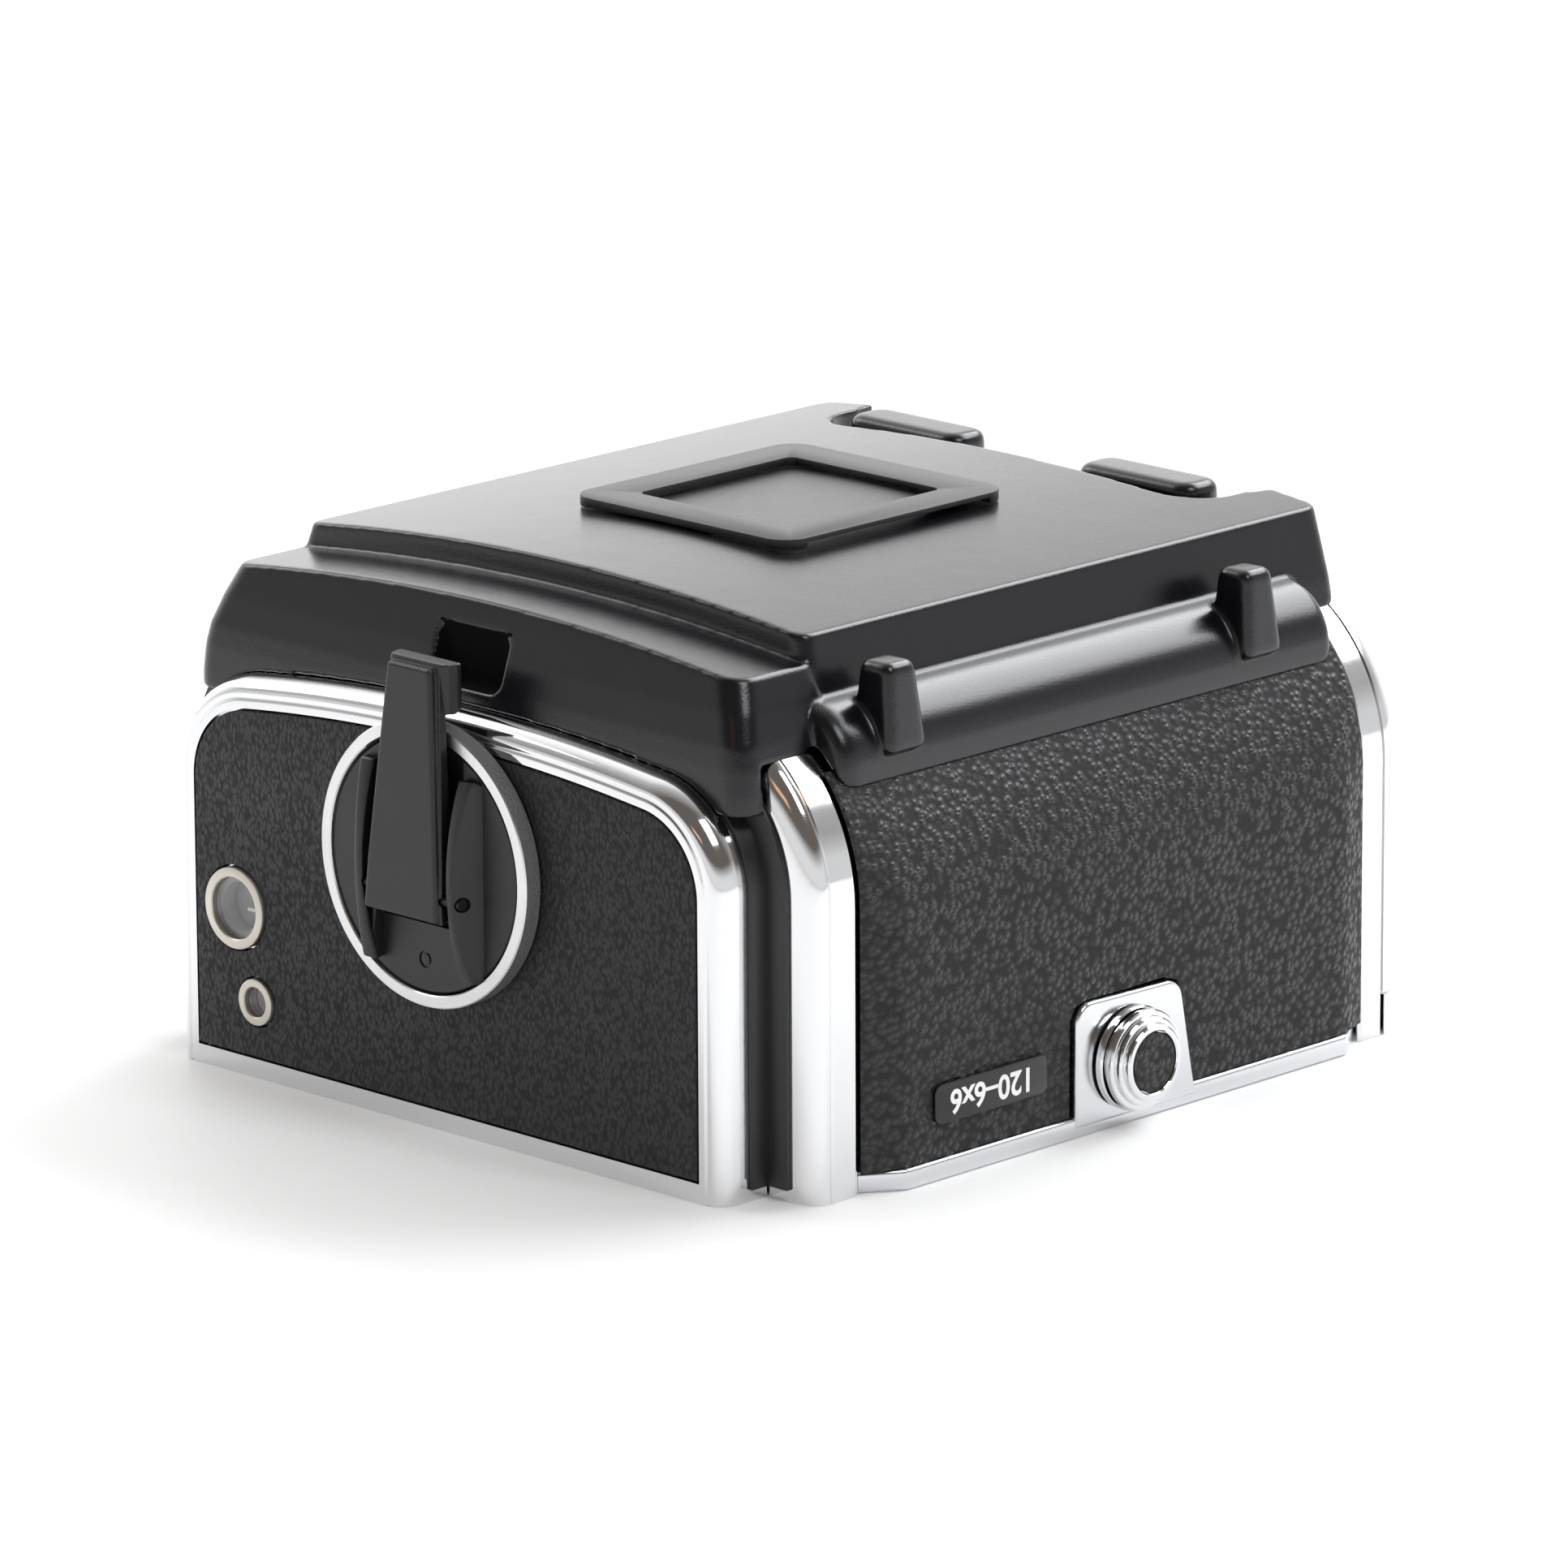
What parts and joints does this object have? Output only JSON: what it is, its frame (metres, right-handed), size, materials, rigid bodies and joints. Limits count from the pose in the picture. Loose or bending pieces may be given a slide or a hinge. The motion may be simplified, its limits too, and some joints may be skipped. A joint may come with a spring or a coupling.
{
  "type": "roll film magazine",
  "caption": "Roll-film magazine for a medium-format reflex camera: chrome body with black leatherette, black rear cover, folding winding crank and slide-out film insert.",
  "frame": {"origin": "Middle of the object's box in X and Y, on the resting plane of the camera-side face (Z = 0)", "axes": "Z points from the camera-side face to the rear cover; -Y is the winding-crank side and +Y the film-insert side; +X is the side with the release button."},
  "size_m": [0.0956, 0.098, 0.055],
  "materials": {
    "black_paint": "satin black enamel",
    "chrome": "satin chrome plate",
    "leatherette": "pebbled black leatherette",
    "black_plastic": "matte black",
    "label_black": "gloss black",
    "nickel": "warm nickel plate",
    "steel": "plain steel",
    "brass": "cut brass",
    "glass": "clear",
    "dial_face": "matte grey",
    "flag_red": "matte red",
    "anodised": "black anodised",
    "felt": "black felt"
  },
  "bodies": {
    "body": {"front_plate": "chrome", "film_gate_frame": "black_paint", "slide_throat": "chrome", "light_seal": "felt", "main_shell": "chrome", "drive_bulkhead": "chrome", "gear_case": "chrome", "crank_side_skin": "leatherette", "top_skin": "leatherette", "bottom_skin": "leatherette", "corner_strip_top": "leatherette", "corner_strip_bottom": "leatherette", "rear_cover": "black_paint", "memo_frame": "black_plastic", "label_plate": "label_black", "counter_window_ring": "nickel", "counter_window_glass": "glass", "status_window_ring": "nickel", "status_window_glass": "glass", "front_screw_1": "steel", "front_screw_2": "steel", "front_screw_3": "steel", "front_screw_4": "steel", "release_spring": "steel"},
    "crank": {"crank_ring": "chrome", "crank_disc": "black_plastic", "crank_shaft": "steel", "crank_gear": "brass", "counter_pinion": "brass", "crank_hinge_pin": "steel"},
    "crank_arm": {"crank_arm": "black_plastic"},
    "reverse_gear": {"reverse_gear": "brass"},
    "takeup_drive": {"takeup_gear": "brass", "takeup_shaft": "steel"},
    "drive_gear": {"drive_gear": "steel"},
    "counter_idler": {"idler_gear": "brass"},
    "counter_dial": {"counter_dial": "dial_face"},
    "status_flag": {"status_flag": "flag_red"},
    "release": {"release_button": "chrome", "button_inlay": "leatherette", "latch_slider": "steel"},
    "insert": {"insert_end_plate": "chrome", "insert_skin": "leatherette", "insert_frame": "black_paint", "plate_spring": "steel"},
    "pressure_plate": {"pressure_plate": "anodised"},
    "supply_spool": {"supply_spool": "black_plastic"},
    "takeup_spool": {"takeup_spool": "black_plastic"},
    "top_roller": {"guide_roller_top": "steel"},
    "bottom_roller": {"guide_roller_bottom": "steel"},
    "key": {"key_disc": "chrome", "lock_bar": "steel"},
    "key_wing": {"key_wing": "chrome"}
  },
  "joints": [
    {"name": "crank_turn", "type": "hinge", "parent": "body", "child": "crank", "pos_m": [-0.0018, -0.04465, 0.027], "axis": [0, 1, 0], "continuous": true},
    {"name": "crank_fold", "type": "hinge", "parent": "crank", "child": "crank_arm", "pos_m": [-0.0018, -0.04765, 0.0247], "axis": [1, 0, 0], "range_deg": [0, 165]},
    {"name": "reverse_gear_turn", "type": "hinge", "parent": "body", "child": "reverse_gear", "pos_m": [0.01345, -0.03865, 0.01967], "axis": [0, 1, 0], "continuous": true},
    {"name": "takeup_drive_turn", "type": "hinge", "parent": "body", "child": "takeup_drive", "pos_m": [0.02428, -0.03865, 0.0281], "axis": [0, 1, 0], "continuous": true},
    {"name": "drive_gear_turn", "type": "hinge", "parent": "body", "child": "drive_gear", "pos_m": [0.0022, -0.03865, 0.00892], "axis": [0, 1, 0], "continuous": true},
    {"name": "counter_idler_turn", "type": "hinge", "parent": "body", "child": "counter_idler", "pos_m": [-0.01392, -0.03965, 0.02705], "axis": [0, 1, 0], "continuous": true},
    {"name": "counter_dial_turn", "type": "hinge", "parent": "body", "child": "counter_dial", "pos_m": [-0.0238, -0.04065, 0.0192], "axis": [0, 1, 0], "continuous": true},
    {"name": "status_flag_swing", "type": "hinge", "parent": "body", "child": "status_flag", "pos_m": [-0.0204, -0.04165, 0.0052], "axis": [0, 1, 0], "range_deg": [0, 25]},
    {"name": "release_slide", "type": "slide", "parent": "body", "child": "release", "axis": [0, 1, 0], "range_m": [0, 0.0032], "stiffness_N_per_m": 220, "springref_m": -0.001, "deforming": ["release_spring"]},
    {"name": "insert_slide", "type": "slide", "parent": "body", "child": "insert", "axis": [0, 1, 0], "range_m": [0, 0.085]},
    {"name": "pressure_plate_lift", "type": "slide", "parent": "insert", "child": "pressure_plate", "axis": [0, 0, 1], "range_m": [0, 0.001], "stiffness_N_per_m": 600, "springref_m": -0.0008, "deforming": ["plate_spring"]},
    {"name": "supply_spool_turn", "type": "hinge", "parent": "insert", "child": "supply_spool", "pos_m": [-0.02788, 0.00345, 0.0281], "axis": [0, 1, 0], "continuous": true},
    {"name": "takeup_spool_turn", "type": "hinge", "parent": "insert", "child": "takeup_spool", "pos_m": [0.02428, 0.00345, 0.0281], "axis": [0, 1, 0], "continuous": true},
    {"name": "top_roller_turn", "type": "hinge", "parent": "insert", "child": "top_roller", "pos_m": [0.0338, 0.00345, 0.0102], "axis": [0, 1, 0], "continuous": true},
    {"name": "bottom_roller_turn", "type": "hinge", "parent": "insert", "child": "bottom_roller", "pos_m": [-0.0374, 0.00345, 0.0102], "axis": [0, 1, 0], "continuous": true},
    {"name": "key_turn", "type": "hinge", "parent": "insert", "child": "key", "pos_m": [-0.0018, 0.04735, 0.024], "axis": [0, 1, 0], "range_deg": [0, 90]},
    {"name": "key_wing_fold", "type": "hinge", "parent": "key", "child": "key_wing", "pos_m": [-0.0018, 0.04825, 0.024], "axis": [1, 0, 0], "range_deg": [-90, 0]}
  ],
  "couplings": [
    {"joint": "reverse_gear_turn", "follows": "crank_turn", "ratio": -2},
    {"joint": "takeup_drive_turn", "follows": "crank_turn", "ratio": 1.4},
    {"joint": "takeup_spool_turn", "follows": "crank_turn", "ratio": 1.4},
    {"joint": "drive_gear_turn", "follows": "crank_turn", "ratio": -1.5556},
    {"joint": "counter_idler_turn", "follows": "crank_turn", "ratio": -0.33333},
    {"joint": "counter_dial_turn", "follows": "crank_turn", "ratio": 0.083333}
  ]
}
